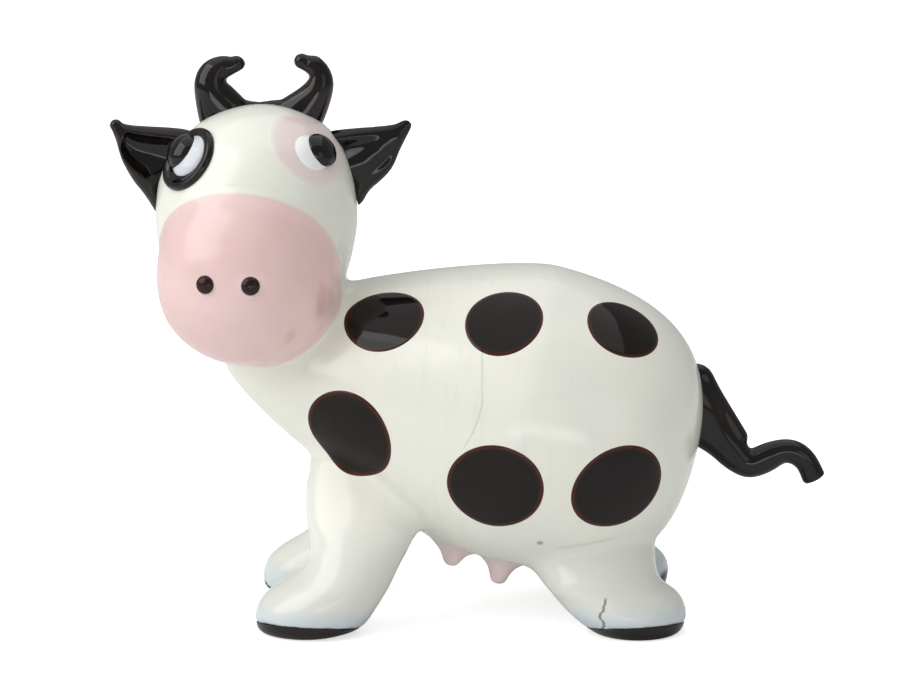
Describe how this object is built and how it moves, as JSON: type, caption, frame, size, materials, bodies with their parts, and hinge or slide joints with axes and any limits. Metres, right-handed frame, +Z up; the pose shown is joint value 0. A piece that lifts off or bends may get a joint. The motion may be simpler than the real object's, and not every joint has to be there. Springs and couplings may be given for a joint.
{
  "type": "cow figurine",
  "caption": "Small standing cow of opaque lampworked glass with a pink muzzle, curled horns, cupped ears, round flank spots, splayed feet and a wavy tail.",
  "frame": {"origin": "centre of the base, on the plane the feet stand on", "axes": "+X towards the tail, -Y the side the cow's left flank faces, +Z up; Z = 0 is the table"},
  "size_m": [0.0549, 0.0236, 0.0434],
  "materials": {
    "white_glass": "opaque fire-polished white glass",
    "pink_glass": "opaque fire-polished pink glass",
    "black_glass": "opaque fire-polished black glass",
    "eye_glass": "opaque fire-polished bright white glass"
  },
  "bodies": {
    "root": {"body": "white_glass", "spot_left_1": "black_glass", "spot_left_2": "black_glass", "spot_left_3": "black_glass", "spot_left_4": "black_glass", "spot_left_5": "black_glass", "spot_left_6": "black_glass", "spot_right_1": "black_glass", "spot_right_2": "black_glass", "spot_right_3": "black_glass", "spot_right_4": "black_glass", "spot_right_5": "black_glass", "spot_right_6": "black_glass", "head": "white_glass", "muzzle": "pink_glass", "nostril_left": "black_glass", "nostril_right": "black_glass", "eye_patch_left": "pink_glass", "eye_patch_right": "black_glass", "eye_white_left": "eye_glass", "eye_white_right": "eye_glass", "pupil_left": "black_glass", "pupil_right": "black_glass", "horn_left": "black_glass", "horn_right": "black_glass", "ear_left": "black_glass", "ear_right": "black_glass", "leg_front_left": "white_glass", "leg_front_right": "white_glass", "leg_hind_left": "white_glass", "leg_hind_right": "white_glass", "hoof_front_left": "black_glass", "hoof_front_right": "black_glass", "hoof_hind_left": "black_glass", "hoof_hind_right": "black_glass", "tail": "black_glass", "teat_front_left": "pink_glass", "teat_front_right": "pink_glass", "teat_hind_left": "pink_glass", "teat_hind_right": "pink_glass"}
  },
  "joints": []
}
